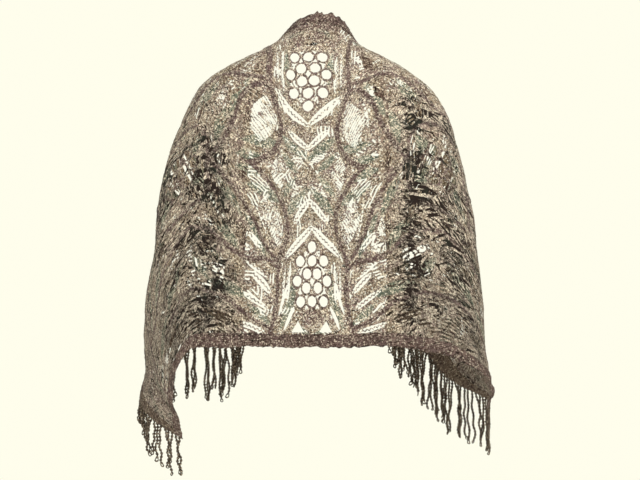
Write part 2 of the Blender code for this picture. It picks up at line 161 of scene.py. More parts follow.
def rib(place, side):
    """Turns and heights of one rib, spaced evenly along it from neck edge to hem edge."""
    rows = np.array(BACK_RIBS + (RIGHT_RIBS if side > 0 else LEFT_RIBS))
    neck_x, neck_z, ridge_z, hem_x, hem_z = [float(smooth(rows, c, place)) for c in range(1, 6)]
    quarter = np.linspace(0.0, math.pi / 2, 60)
    turns = []
    heights = []
    ridge_x = neck_x
    if place > NECK_TURN:
        ridge_x = float(smooth(HOLLOW, 1, ridge_z))
        share = np.sin(quarter)
        heights.append(neck_z + (ridge_z - neck_z) * share)
        turns.append(hollow_turn(neck_x + (ridge_x - neck_x) * share, heights[-1], 1.0))
    else:
        ridge_z = neck_z
    share = 1.0 - np.cos(quarter)
    heights.append(ridge_z + (hem_z - ridge_z) * share)
    turns.append(hollow_turn(ridge_x + (hem_x - ridge_x) * share, heights[-1], -1.0))
    turns = np.concatenate(turns)
    heights = np.concatenate(heights)
    steps = np.linalg.norm(np.diff(hollow_point(turns, heights), axis=0), axis=1)
    run = np.concatenate([[0.0], np.cumsum(steps)])
    even = DOWN / WIDTH * run[-1]
    return np.stack([np.interp(even, run, turns), np.interp(even, run, heights)])


def fade(place, start, span):
    """0 up to the start and 1 from a span beyond it; a span below 0 runs the other way."""
    return np.clip((place - start) / span, 0.0, 1.0)


def fall(place, side):
    """A rib of the hanging part, between the last rib of the back and the short edge."""
    rows = np.array(RIGHT_END if side > 0 else LEFT_END)
    edge = np.stack([np.radians(smooth(rows, 1, DOWN)), smooth(rows, 2, DOWN)])
    start = rib(FALL_START, side)
    span = HALF_LENGTH - FALL_START
    slope = (start - rib(FALL_START - 0.015, side)) / 0.015 * span
    share = max(0.0, (place - FALL_START) / span)
    quicken = fade(DOWN / WIDTH, 0.35, 0.5)
    return start + slope * share * (1.0 - share) ** 2 + (edge - start) * share ** (1.3 - 0.45 * quicken)


def worn_rib(along):
    """One rib in space."""
    side = 1 if along >= 0 else -1
    place = abs(along)
    turn, height = rib(place, side) if place <= FALL_START else fall(place, side)
    points = hollow_point(turn, height)
    points[:, 0] *= side
    points[:, 0] += NECK_LEAN * np.clip(points[:, 2] - LEAN_FROM, 0.0, None)
    return points


def soften(cloth, times):
    """Relax the cloth so that no rib starts or turns with a kink."""
    for _ in range(times):
        inner = cloth.copy()
        inner[1:-1] = 0.5 * cloth[1:-1] + 0.25 * (cloth[:-2] + cloth[2:])
        cloth = inner
        inner = cloth.copy()
        inner[:, 1:-1] = 0.5 * cloth[:, 1:-1] + 0.25 * (cloth[:, :-2] + cloth[:, 2:])
        cloth = inner
    return cloth


def outward(cloth):
    """Unit normals that point away from the hollow."""
    normal = np.cross(np.gradient(cloth, axis=1), np.gradient(cloth, axis=0))
    return normal / np.linalg.norm(normal, axis=2, keepdims=True)


def drape():
    """The stole as worn: ribs on the hollow, then soft uneven folds that grow towards the ends."""
    cloth = soften(np.array([worn_rib(u) for u in ALONG]), 3)
    u, v = np.meshgrid(ALONG, DOWN, indexing="ij")
    away = np.abs(u)
    falling = fade(away, 0.27, 0.38)
    phase = np.where(u > 0, 0.4, 1.7)
    wave = np.sin(2 * math.pi * (v / FOLD_PITCH + 0.22 * np.sin(v * 17.0)) + phase + 3.0 * falling)
    folds = FOLD_DEPTH * falling ** 1.3 * wave * (0.45 + 0.55 * fade(v, 0.0, 0.10))
    front = fade(v, 0.30, -0.30) * fade(away, 0.16, 0.20)
    gathers = np.sin(v * 70.0 + phase + 2.0 * falling)
    folds += GATHER_DEPTH * front ** 0.7 * (1.0 - 0.95 * falling) * gathers
    hem = fade(v / WIDTH, 0.55, 0.45) ** 2
    folds += HEM_WAVE * hem * np.sin(u * 37.0 + 1.2 * np.sin(u * 13.0))
    shoulder = np.exp(-((away - 0.27) / 0.08) ** 2) * np.exp(-((v - 0.36) / 0.18) ** 2)
    folds += SHOULDER_WAVE * shoulder * np.sin(u * 52.0 + 0.8)
    return cloth + outward(cloth) * folds[..., None]


def edged(grid):
    """A grid with one more row and column on each side, carried straight on."""
    grid = np.concatenate([2 * grid[:1] - grid[1:2], grid, 2 * grid[-1:] - grid[-2:-1]])
    return np.concatenate([2 * grid[:, :1] - grid[:, 1:2], grid, 2 * grid[:, -1:] - grid[:, -2:-1]], axis=1)


def between(grid, i, j):
    """Smooth values of an edged grid at fractional places."""
    i0 = np.clip(np.floor(i).astype(int), 0, grid.shape[0] - 4)
    j0 = np.clip(np.floor(j).astype(int), 0, grid.shape[1] - 4)
    weights = []
    for t in (i - i0, j - j0):
        weights.append((
            -0.5 * t + t ** 2 - 0.5 * t ** 3,
            1.0 - 2.5 * t ** 2 + 1.5 * t ** 3,
            0.5 * t + 2.0 * t ** 2 - 1.5 * t ** 3,
            -0.5 * t ** 2 + 0.5 * t ** 3,
        ))
    total = 0.0
    for a in range(4):
        for b in range(4):
            share = weights[0][a] * weights[1][b]
            value = grid[i0 + a, j0 + b]
            total = total + (share[..., None] * value if value.ndim > share.ndim else share * value)
    return total


def patchy(u, v, size, seed):
    """Soft uneven patches of about one size over the cut, from -1 to 1."""
    rolls = np.random.default_rng(seed)
    tall = int(1.6 / size) + 8
    wide = int(1.0 / size) + 8
    grid = rolls.uniform(-1.0, 1.0, (tall, wide))
    return between(grid, (np.asarray(u) + 0.8) / size, (np.asarray(v) + 0.1) / size)


CLOTH = drape()
FACING = edged(soften(outward(CLOTH), 4))
CLOTH = edged(CLOTH)


def worn(u, v, rise):
    """Places of the worn cloth, moved out from its middle by rise, with its small creases."""
    i = (u + REACH) / (2 * REACH) * (len(ALONG) - 1)
    j = v / WIDTH * (len(DOWN) - 1)
    facing = between(FACING, i, j)
    facing = facing / np.linalg.norm(facing, axis=-1, keepdims=True)
    crease = 0.0016 * patchy(u, v, 0.050, 3) + 0.0007 * patchy(u, v * 0.5, 0.016, 4)
    return between(CLOTH, i, j) + facing * (rise + crease)[..., None]


# off_centre, down: stems from the neck edge to the middle of the width, mirrored to the hem
STEM = [(0.118, 0.005), (0.101, 0.045), (0.092, 0.095), (0.092, 0.140), (0.090, 0.172), (0.078, 0.198),
        (0.066, 0.224), (0.061, 0.252), (0.066, 0.284), (0.080, 0.308), (0.100, 0.330), (0.135, 0.352)]
BRANCH = [(0.090, 0.168), (0.116, 0.184), (0.137, 0.214), (0.148, 0.255), (0.168, 0.302), (0.205, 0.350)]
TWIG = [(0.090, 0.156), (0.125, 0.168), (0.158, 0.166), (0.195, 0.180), (0.235, 0.212), (0.272, 0.228)]
SHOULDER_TWIG = [(0.106, 0.036), (0.150, 0.052), (0.200, 0.085), (0.245, 0.105), (0.275, 0.110)]
ARC = [(0.275, 0.262), (0.235, 0.272), (0.208, 0.300), (0.205, 0.350)]
STEMS = ((STEM, 0.0056), (BRANCH, 0.0046), (TWIG, 0.0046), (SHOULDER_TWIG, 0.0040), (ARC, 0.0038))
COLUMN_PITCH = 0.540
COLUMN_SHIFT = -0.014
RING_HOLE = 0.0110
# The work by the hem is drawn in towards its bunches, and the work by the neck lies a little lower
HEM_SQUEEZE = 0.30
HEM_SHIFT = 0.0085
HEM_FADE = (0.020, 0.100)
NECK_DROP = 0.010
DROP_FADE = 0.095
# down, rings, pitch, arch
BUNCH_ROWS = [
    (0.091, 3, 0.030, 0.000),
    (0.118, 2, 0.030, 0.000),
    (0.1460, 4, 0.0260, 0.007),
    (0.172, 3, 0.031, 0.000),
    (0.199, 1, 0.000, 0.000),
]
# off_centre, down, rings, pitch
POSY_ROWS = [(-0.027, 2, 0.029), (0.000, 3, 0.029)]
# Open slits, each with one thread along it: off_centre, down, length, width, lean in degrees, centred thread
SLITS = [
    (0.0360, 0.2100, 0.106, 0.0165, -40.0, 1),
    (0.0200, 0.2700, 0.076, 0.0130, -44.0, 1),
    (0.0610, 0.1300, 0.090, 0.0110, -86.0, 0),
    (0.0750, 0.1250, 0.080, 0.0070, -86.0, 0),
    (0.1300, 0.1220, 0.064, 0.0150, 40.0, 1),
    (0.1420, 0.0880, 0.076, 0.0110, 27.0, 1),
    (0.1400, 0.1460, 0.060, 0.0090, 34.0, 0),
    (0.1800, 0.1880, 0.062, 0.0150, 12.0, 1),
    (0.1460, 0.2000, 0.050, 0.0120, 44.0, 1),
    (0.2200, 0.2040, 0.056, 0.0130, 8.0, 1),
    (0.2050, 0.1400, 0.070, 0.0140, 26.0, 1),
    (0.1500, 0.0360, 0.084, 0.0105, 14.0, 1),
    (0.2200, 0.0600, 0.080, 0.0125, 22.0, 1),
    (0.1960, 0.0840, 0.060, 0.0090, 22.0, 0),
    (0.1260, 0.2400, 0.070, 0.0060, 84.0, 0),
    (0.2220, 0.2420, 0.056, 0.0130, 74.0, 1),
    (0.2480, 0.2940, 0.034, 0.0090, 60.0, 0),
    (0.2380, 0.1780, 0.046, 0.0110, 42.0, 0),
]
# The same by the hem, with no thread
HEM_SLITS = [
    (0.0585, 0.0600, 0.062, 0.0085, -62.0),
    (0.0740, 0.0940, 0.070, 0.0070, -70.0),
]
# A close-worked leaf that only the hem half has
HEM_SAGE_LEAF = (0.0640, 0.0760, 0.098, 0.0170, -66.0)
# off_centre, down, radius of the small closed rings under the bunch by the hem
HEM_CURLS = [
    (0.0000, 0.0690, 0.0060),
    (0.0145, 0.0640, 0.0055),
    (0.0065, 0.0520, 0.0055),
    (0.0200, 0.0520, 0.0050),
]
# off_centre, down, and the two radii of the curl on each side of the neck
NECK_CURL = (0.022, 0.046, 0.0112, 0.0040)
# Leaves filled with a slanting net: off_centre, down, length, width, lean in degrees
NET_LEAVES = [
    (0.0990, 0.2480, 0.104, 0.0520, 84.0),
    (0.2380, 0.2860, 0.058, 0.0280, 12.0),
    (0.0640, 0.3400, 0.072, 0.0320, 90.0),
    (0.1820, 0.2320, 0.088, 0.0330, 66.0),
    (0.1680, 0.3360, 0.050, 0.0190, 74.0),
    (0.1900, 0.1900, 0.060, 0.0200, 40.0),
    (0.0210, 0.3120, 0.050, 0.0150, -38.0),
]
# Close-worked leaves in sage: off_centre, down, length, width, lean in degrees
SAGE_LEAVES = [
    (0.0480, 0.1180, 0.084, 0.0150, -84.0),
    (0.0290, 0.2890, 0.086, 0.0220, -42.0),
    (0.1000, 0.2950, 0.078, 0.0240, 12.0),
    (0.0400, 0.3200, 0.060, 0.0160, -52.0),
    (0.1420, 0.2120, 0.090, 0.0220, 66.0),
    (0.1950, 0.1080, 0.096, 0.0220, 22.0),
    (0.2050, 0.2100, 0.080, 0.0220, 50.0),
    (0.2350, 0.3160, 0.066, 0.0260, 62.0),
    (0.1780, 0.2780, 0.080, 0.0200, 74.0),
    (0.1300, 0.0600, 0.074, 0.0160, 34.0),
    (0.1240, 0.3290, 0.050, 0.0200, 10.0),
    (0.0300, 0.0330, 0.050, 0.0120, 20.0),
    (0.2500, 0.1500, 0.060, 0.0180, 60.0),
]
MIDDLE = WIDTH / 2
YARN_PITCH = 0.0036
NET_PITCH = 0.0054
THREAD_HALF = 0.0015
# How blunt the points of leaves and of slits are, and how much the closer work near the ends narrows a slit
LEAF_POINT = 1.7
SLIT_POINT = 2.6
SLIT_CLOSE = 0.0035
# From a ring's middle: where star gaps start and end, and how far they and the round cords push others away
STAR_START = 0.0146
STAR_END = 0.0236
STAR_ROOM = 0.0198
CORD_ROOM = 0.0148
# Where a motif has nothing to say: well inside the yarn, or a metre off
NOWHERE = -0.02
FAR_OFF = 1.0


def beside(across, down, points):
    """Distance to a smooth line through points."""
    rows = np.array(points)
    rows = np.concatenate([2 * rows[:1] - rows[1:2], rows, 2 * rows[-1:] - rows[-2:-1]])
    track = []
    for k in range(1, len(rows) - 2):
        p, q, r, s = rows[k - 1:k + 3]
        for t in np.arange(5) / 5:
            bend = 2 * p - 5 * q + 4 * r - s + t * (3 * (q - r) + s - p)
            track.append(q + 0.5 * t * (r - p + t * bend))
    track.append(rows[-2])
    nearest = np.full(across.shape, FAR_OFF)
    for start, end in zip(track, track[1:]):
        run = end - start
        share = ((across - start[0]) * run[0] + (down - start[1]) * run[1]) / run.dot(run)
        share = np.clip(share, 0.0, 1.0)
        gap = np.hypot(across - start[0] - share * run[0], down - start[1] - share * run[1])
        nearest = np.minimum(nearest, gap)
    return nearest


def in_leaf(across, down, leaf, point=LEAF_POINT):
    """Places along and across a pointed leaf, and the room to its edge, which is under 0 outside."""
    off_centre, height, length, width, lean = leaf
    turn = math.radians(lean)
    far = (across - off_centre) * math.cos(turn) + (down - height) * math.sin(turn)
    off = (down - height) * math.cos(turn) - (across - off_centre) * math.sin(turn)
    share = np.abs(far) / (length / 2)
    room = width / 2 * np.clip(1.0 - share ** point, 0.0, 1.0) - np.abs(off)
    return far, off, np.where(share < 1.0, room, -0.001 - (share - 1.0) * length / 2)


def comb(place, pitch):
    """Distance to the nearest of many even lines."""
    return np.abs((place / pitch) % 1.0 - 0.5) * pitch


def in_repeat(u, v):
    """Place in the repeat: off a column's middle, in from the nearer long edge, and how far hemward."""
    hemward = fade(v - MIDDLE, *HEM_FADE)
    off = (u - COLUMN_SHIFT - HEM_SHIFT * hemward + COLUMN_PITCH / 2) % COLUMN_PITCH
    off = np.abs(off - COLUMN_PITCH / 2)
    off = off * (1.0 + HEM_SQUEEZE * hemward * (1.0 - (2 * off / COLUMN_PITCH) ** 2))
    edge = np.minimum(v - NECK_DROP * fade(v, MIDDLE, -DROP_FADE), WIDTH - v)
    return off, edge, hemward


def nearest_rings(off, edge):
    """Distances to the middle of the nearest ring of a bunch or posy, and to that of the next one."""
    middles = []
    for down, rings, pitch, arch in BUNCH_ROWS:
        for k in range(rings):
            step = k - (rings - 1) / 2
            middles.append((step * pitch, down - arch * max(0.0, abs(step) - 0.5) * 2))
    for rise, rings, pitch in POSY_ROWS:
        for k in range((rings + 1) // 2):
            middles.append((COLUMN_PITCH / 2 + (k - (rings - 1) / 2) * pitch, MIDDLE + rise))
    nearest = np.full(off.shape, FAR_OFF)
    following = np.full(off.shape, FAR_OFF)
    for place, down in middles:
        reach = np.hypot(off - place, edge - down)
        following = np.minimum(following, np.maximum(nearest, reach))
        nearest = np.minimum(nearest, reach)
    return nearest, following


def lace_work(u, v):
    """What the lace is at each place of the cut: how solid, how raised, and which yarn.

    Gaps, cords and rooms are distances to their own edges, above 0 inside.
    """
    off, edge, hemward = in_repeat(u, v)
    across = off + 0.0022 * patchy(u, v, 0.035, 11)
    down = edge + 0.0022 * patchy(u, v, 0.035, 12)
    away = np.abs(u)
    hem_half = v > MIDDLE
    close = fade(away, 0.34, 0.10)
    corner = fade(away, 0.48, 0.04) * fade(v, 0.46, 0.06)
    arm = fade(away, 0.15, 0.04) * fade(away, 0.42, -0.06) * fade(v, 0.19, 0.06)
    arm = arm * (0.85 + 0.45 * np.exp(-((away - 0.20) / 0.030) ** 2))

    # the weft runs beside the stems, and each close-worked leaf turns it to its own slant
    cord = np.full(u.shape, NOWHERE)
    weft = np.full(u.shape, FAR_OFF)
    for points, half in STEMS:
        reach = beside(across, down, points)
        weft = np.minimum(weft, reach)
        cord = np.maximum(cord, half - reach)
    sage = np.zeros(u.shape)
    for leaf in SAGE_LEAVES + [HEM_SAGE_LEAF]:
        far, aside, room = in_leaf(across, down, leaf)
        if leaf == HEM_SAGE_LEAF:
            room = np.where(hem_half, room, NOWHERE)
        sage = np.maximum(sage, np.clip(room / 0.002 + 0.5, 0.0, 1.0))
        weft = np.where(room > 0, aside - 0.4 * np.abs(far), weft)
    weft = weft + 0.0012 * patchy(u, v, 0.009, 13)

    # small gaps between the yarn rows of the ground, which is calm round the bunches
    loose = patchy(u, v, 0.013, 14) + 0.5 * patchy(u, v, 0.045, 15) + 0.2 * arm - 0.4 * close
    gap = np.minimum(0.0016 - comb(weft, 2 * YARN_PITCH), (loose - 0.42) * 0.008)
    gap = np.maximum(NOWHERE, gap)
    calm = hem_half & (off < 0.034) & (edge > 0.036) & (edge < 0.082)
    calm = calm | (~hem_half & (off < 0.066) & (edge < 0.077))
    gap = np.where(calm, np.minimum(gap, -0.0015), gap)

    # open slits with a crinkled thread along each, and the nets inside the larger leaves
    for *leaf, centred in SLITS:
        far, aside, room = in_leaf(across, down, leaf, SLIT_POINT)
        crinkle = 0.0019 * (comb(far, 0.009) / 0.00225 - 1.0)
        thread = np.abs(aside + crinkle - (0.0 if centred else 0.2 * leaf[3])) - THREAD_HALF
        gap = np.maximum(gap, np.minimum(room - SLIT_CLOSE * close, thread))
        weft = np.where(room > -0.004, aside, weft)
    net = np.zeros(u.shape)
    for leaf in NET_LEAVES:
        far, aside, room = in_leaf(across, down, leaf)
        slant = 0.72 * aside - 0.69 * far + 0.0022 * patchy(u, v, 0.014, 16)
        ragged = 0.0012 + 0.0009 * patchy(u, v, 0.008, 26) + 0.0004 * patchy(u, v, 0.040, 28)
        closed = patchy(u, v, 0.009, 20) + 0.5 * patchy(u, v, 0.045, 30) + close + 0.7 * arm + 0.3 * hemward
        weave = np.minimum(ragged - comb(slant, NET_PITCH), (0.42 - closed) * 0.006)
        gap = np.where(room > 0, np.maximum(-0.004, np.minimum(weave, room)), gap)
        weft = np.where(room > 0, slant, weft)
        net = np.maximum(net, np.clip(room / 0.003, 0.0, 1.0))
        cord = np.maximum(cord, 0.0004 + 0.0008 * patchy(u, v, 0.010, 27) - np.abs(room))

    # open slits, wedges and curls by the hem, and one curl on each side of the neck
    for leaf in HEM_SLITS:
        room = in_leaf(across, down, leaf, SLIT_POINT)[2]
        gap = np.maximum(gap, np.where(hem_half, room - SLIT_CLOSE * close, NOWHERE))
    wedge = np.minimum(edge - 0.030, (0.052 - edge) / 1.3 - np.abs(across - 0.036)) - 0.02 * close
    gap = np.maximum(gap, np.where(hem_half, wedge, NOWHERE))
    curl = np.hypot(across - NECK_CURL[0], down - NECK_CURL[1])
    curl = 0.0022 - np.minimum(np.abs(curl - NECK_CURL[2]), np.abs(curl - NECK_CURL[3]))
    cord = np.maximum(cord, np.where(hem_half, NOWHERE, curl))
    for place, height, radius in HEM_CURLS:
        curl = 0.0015 - np.abs(np.hypot(across - place, down - height) - radius)
        cord = np.maximum(cord, np.where(hem_half, curl, NOWHERE))

    # the rings, with small star gaps between them; their holes are smaller at the lower corners
    ring, next_ring = nearest_rings(off, edge)
    ring = ring + 0.0005 * patchy(u, v, 0.007, 17)
    spokes = comb(off + 0.6 * edge, 0.019) - 0.0013
    star = np.minimum(np.minimum(ring - STAR_START, STAR_END - next_ring), spokes)
    gap = np.where(ring < STAR_ROOM, star, gap)
    gap = np.maximum(gap, RING_HOLE - 0.0050 * corner - ring)
    round_cord = 0.0020 + 0.0009 * patchy(u, v, 0.0036, 29) - np.abs(ring - RING_HOLE - 0.0019)
    cord = np.maximum(np.where(ring < CORD_ROOM, NOWHERE, cord), round_cord)
    held = np.minimum(np.minimum(v, WIDTH - v) - 0.024, HALF_LENGTH - END_BAND - 0.006 - away)
    gap = np.minimum(gap, held)
    solid = np.maximum(np.minimum(0.004, -gap + 0.0040 * corner), cord)

    # which yarn: plum cords and neck, sage leaves, silver yarn over dark hollows that are painted shade, and
    # a lower half darkened by painted shade
    posy = np.hypot(across - COLUMN_PITCH / 2, 1.2 * (down - MIDDLE))
    # this mark brings silver yarn and the painted shade of dark hollows over the arms and the posies
    silver_over_painted_shade = np.maximum(fade(posy, 0.085, -0.03), np.maximum(arm, 0.7 * close))
    silver_over_painted_shade = silver_over_painted_shade * np.clip(0.85 + 0.7 * patchy(u, v, 0.032, 19), 0.0, 1.2)
    plum = np.clip(cord / 0.0012 + 0.4, 0.0, 1.0) * (1.0 - 0.55 * net * (round_cord < -0.001))
    nape = fade(v, 0.040, -0.006) * fade(away, 0.085, -0.02)
    yoke = fade(v, 0.070, -0.014) * fade(away, 0.075, -0.02)
    plum = np.maximum(plum, np.maximum(0.45 * corner, np.maximum(0.8 * nape, 0.4 * yoke)))
    # painted shade: the lower part of the falls is darkened as if it lay in its own shade, less towards the
    # ends
    painted_shade_mark = fade(v, 0.46, 0.12) * fade(away, 0.17, 0.06)
    painted_shade_mark = painted_shade_mark * (1.0 + 0.3 * patchy(u, v, 0.060, 33)) * (1.0 - 0.9 * close)
    yarn_row = 0.5 + 0.5 * np.cos(2 * math.pi * weft / YARN_PITCH)
    raised = 0.0011 * fade(cord, 0.0, 0.002) + 0.0005 * yarn_row + 0.0004 * patchy(u, v, 0.004, 18)
    marks = {"plum": plum, "sage": sage * (1 - plum), "net": net, "weft": weft, "silver_over_painted_shade": silver_over_painted_shade, "painted_shade_mark": painted_shade_mark}
    return solid, raised, marks


def triangles(first, second, third):
    """Triangles from three lists of corner numbers."""
    return np.stack([first, second, third], axis=1)


def pierced(values, solid, cells):
    """Cut a flat mesh of triangles along the edge of what is solid; every value goes to the new corners."""
    held = solid[cells] > 0
    count = held.sum(axis=1)
    joints = []
    kinds = []
    for wanted in (1, 2):
        some = cells[count == wanted]
        lone = np.argmax(held[count == wanted] == (wanted == 1), axis=1)
        rows = np.arange(len(some))
        first, second, third = [some[rows, (lone + k) % 3] for k in range(3)]
        joints += [np.stack([first, second], axis=1), np.stack([first, third], axis=1)]
        kinds.append((first, second, third))
    pairs = np.sort(np.concatenate(joints), axis=1)
    pairs, place = np.unique(pairs, axis=0, return_inverse=True)
    place = place.reshape(-1) + len(solid)
    share = solid[pairs[:, 0]] / (solid[pairs[:, 0]] - solid[pairs[:, 1]])
    share = np.clip(share, 0.03, 0.97)
    made = {}
    for name, value in values.items():
        made[name] = np.concatenate([value, value[pairs[:, 0]] * (1 - share) + value[pairs[:, 1]] * share])
    tip = kinds[0][0]
    left, right = kinds[1][1:]
    one = len(tip)
    low = place[2 * one:2 * one + len(left)]
    high = place[2 * one + len(left):]
    faces = np.concatenate([
        cells[count == 3],
        triangles(tip, place[:one], place[one:2 * one]),
        triangles(low, left, right),
        triangles(low, right, high),
    ])
    used, faces = np.unique(faces, return_inverse=True)
    return {name: value[used] for name, value in made.items()}, faces.reshape(-1, 3)


def cloth_piece(name, node, points, faces, finish, marks):
    """One piece from its corners and triangles, with the marks that its yarn reads."""
    mesh = bpy.data.meshes.new(name)
    mesh.from_pydata(points.tolist(), [], faces.tolist())
    for mark, value in marks.items():
        kind = "FLOAT_VECTOR" if value.ndim == 2 else "FLOAT"
        layer = mesh.attributes.new(mark, kind, "POINT")
        layer.data.foreach_set("vector" if value.ndim == 2 else "value", value.astype(np.float32).ravel())
    mesh.shade_smooth()
    mesh.materials.append(finish)
    piece = bpy.data.objects.new(name, mesh)
    bpy.context.scene.collection.objects.link(piece)
    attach(piece, "root")
    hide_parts(node)
    return piece


class Thread:
    """A value, colour or direction in a material; sums on values add their own nodes."""

    def __init__(self, tree, socket):
        self.tree = tree
        self.socket = socket

    def node(self, kind, values, out=0, **settings):
        made = self.tree.nodes.new(kind)
        for setting, choice in settings.items():
            setattr(made, setting, choice)
        for place, value in values.items():
            if isinstance(value, Thread):
                self.tree.links.new(value.socket, made.inputs[place])
            else:
                made.inputs[place].default_value = value
        return Thread(self.tree, made.outputs[out])

    def sum(self, operation, one, other):
        return self.node("ShaderNodeMath", {0: one, 1: other}, operation=operation)

    def __add__(self, other):
        return self.sum("ADD", self, other)

    def __radd__(self, other):
        return self.sum("ADD", other, self)

    def __sub__(self, other):
        return self.sum("SUBTRACT", self, other)

    def __rsub__(self, other):
        return self.sum("SUBTRACT", other, self)

    def __mul__(self, other):
        return self.sum("MULTIPLY", self, other)

    def __rmul__(self, other):
        return self.sum("MULTIPLY", other, self)

    def __gt__(self, other):
        return self.sum("GREATER_THAN", self, other)

    def __lt__(self, other):
        return self.sum("LESS_THAN", self, other)


def dye(red, green, blue):
    """A yarn colour from its usual screen numbers."""
    shades = [x / 255 for x in (red, green, blue)]
    return tuple(x / 12.92 if x < 0.04045 else ((x + 0.055) / 1.055) ** 2.4 for x in shades) + (1.0,)


TAUPE = dye(166, 148, 124)
MAUVE = dye(154, 133, 124)
BARK = dye(52, 37, 29)
CREAM = dye(244, 233, 210)
SAGE = dye(150, 155, 134)
PINE = dye(66, 82, 72)
PLUM = dye(104, 82, 83)
# painted shade: the two dark colours of the hollows, as of the shadowed inside seen through the lace
HOLLOW_SHADE_BROWN = dye(38, 26, 20)
HOLLOW_SHADE_MOSS = dye(36, 38, 30)
SILVER = dye(198, 184, 168)
LOOPS_A_METRE = 450.0
YARN_MARKS = ("plum", "sage", "net", "weft", "silver_over_painted_shade", "painted_shade_mark")


def mixed(share, one, other):
    """One colour turning into another."""
    return share.node("ShaderNodeMix", {0: share, 6: one, 7: other}, out=2, data_type="RGBA")


def noise(place, scale, detail, out="Fac"):
    """Soft noise over the cut."""
    return place.node("ShaderNodeTexNoise", {"Vector": place, "Scale": scale, "Detail": detail}, out=out)


def shifted(place, stretch, shift):
    """A place on the cut, stretched alike every way and then shifted."""
    values = {0: place, 1: (stretch,) * 3, 2: shift}
    return place.node("ShaderNodeVectorMath", values, operation="MULTIPLY_ADD")


def looped_yarn(name, body, second, dark, light, flecks, openness):
    """Fuzzy looped yarn: cells of a loop's size in flecked colours, rows along the weft, fine hairs.

    Flecks are the shares of dark and of light loops. Openness is how many pinholes show through.
    """
    material = bpy.data.materials.new(name)
    material.use_nodes = True
    tree = material.node_tree
    shader = tree.nodes["Principled BSDF"]
    start = Thread(tree, None)
    cut = start.node("ShaderNodeAttribute", {}, out="Vector", attribute_name="cut")
    plum, sage, net, weft, silver_over_painted_shade, painted_shade_mark = [
        start.node("ShaderNodeAttribute", {}, out="Fac", attribute_name=mark) for mark in YARN_MARKS
    ]
    waver = noise(cut, 260.0, 2.0, out="Color")
    bent = waver.node("ShaderNodeVectorMath", {0: waver, 1: (0.5, 0.5, 0.5)}, operation="SUBTRACT")
    bent = shifted(bent, 0.004, cut)
    loops = bent.node("ShaderNodeTexVoronoi", {"Vector": bent, "Scale": LOOPS_A_METRE}, out="Color")
    mound = bent.node("ShaderNodeTexVoronoi", {"Vector": bent, "Scale": LOOPS_A_METRE}, out="Distance")
    pick = loops.node("ShaderNodeSeparateColor", {0: loops}, out=0)
    other_pick = loops.node("ShaderNodeSeparateColor", {0: loops}, out=1)
    patch = noise(cut, 34.0, 3.0)
    hairs = noise(cut, 900.0, 3.0)

    # streaks, and the dark hollows that are painted shade, are noise drawn out along the weft
    streak = weft.node("ShaderNodeCombineXYZ", {0: weft * 260.0, 1: 0.0, 2: 0.0})
    streak = noise(shifted(cut, 64.0, streak), 1.0, 1.0)
    hollow_shade_noise = weft.node("ShaderNodeCombineXYZ", {0: weft * 140.0, 1: 0.0, 2: 0.0})
    hollow_shade_noise = noise(shifted(bent, 92.0, hollow_shade_noise), 1.0, 1.0)
    row = weft * (2 * math.pi / YARN_PITCH) + (patch - 0.5) * 6.0
    row = row.node("ShaderNodeMath", {0: row}, operation="COSINE")

    ground = mixed((patch - 0.38) * 4.0, body, second)
    ground = mixed((streak - 0.60) * 3.5, ground, dark)
    ground = mixed((0.42 - streak) * 3.0, ground, light)
    ground = mixed(silver_over_painted_shade * 0.75, ground, SILVER)
    ground = mixed(sage * 0.8, ground, SAGE)
    ground = mixed(plum * 0.8, ground, PLUM)
    ground = mixed((pick < flecks[0] + 0.12 * sage) * 0.78, ground, mixed(sage, dark, PINE))
    ground = mixed((pick > 1.0 - flecks[1] - 0.08 * silver_over_painted_shade) * (0.92 - 0.4 * plum), ground, light)
    # painted shade: dark brown and moss hollows, as of the shadowed inside seen through the lace, strongest
    # over the arms
    hollow_shade_share = (hollow_shade_noise + silver_over_painted_shade * 0.195 - 0.665) * 26.0 * (1.0 - 0.7 * plum)
    ground = mixed(hollow_shade_share, ground, mixed((patch - 0.5) * 8.0, HOLLOW_SHADE_BROWN, HOLLOW_SHADE_MOSS))
    # painted shade in the troughs between yarn rows, with random tone from loops and hairs, and more painted
    # shade where the painted shade mark is set
    shade = 0.86 + 0.16 * row + (hairs - 0.5) * 0.8 + (other_pick - 0.5) * 0.5
    shade = shade * (1.0 - painted_shade_mark * 0.30)
    shade = shade.node("ShaderNodeCombineColor", {0: shade, 1: shade, 2: shade})
    colour = shade.node("ShaderNodeMix", {0: 1.0, 6: ground, 7: shade}, out=2, data_type="RGBA",
                        blend_type="MULTIPLY")
    tree.links.new(colour.socket, shader.inputs["Base Color"])
    shader.inputs["Roughness"].default_value = 0.88
    shader.inputs["Specular IOR Level"].default_value = 0.25
    shader.inputs["Sheen Weight"].default_value = 0.12
    shader.inputs["Sheen Roughness"].default_value = 0.5
    shader.inputs["Sheen Tint"].default_value = (0.9, 0.85, 0.78, 1.0)
    lift = (1.0 - mound) * 0.8 + row * 0.2 + hairs * 0.4 - (hollow_shade_noise - 0.5) * 2.0 * silver_over_painted_shade
    rough = lift.node("ShaderNodeBump", {"Strength": 0.8, "Distance": 0.0009, "Height": lift})
    tree.links.new(rough.socket, shader.inputs["Normal"])
    if openness:
        thin = openness * (1.0 + 0.9 * net - 1.4 * silver_over_painted_shade) * (1.0 - plum)
        closed = (noise(cut, 310.0, 1.0) - row * 0.05 + thin * 0.10) < 0.76
        tree.links.new(closed.socket, shader.inputs["Alpha"])
    return material


LACE_YARN = looped_yarn("fuzzy lace yarn", TAUPE, MAUVE, BARK, CREAM, (0.23, 0.24), 1.0)
LACE_STEP = 0.0019
LACE_SINK = 0.0006
SEAM_LAP = 0.002
EDGE_LAP = 0.003


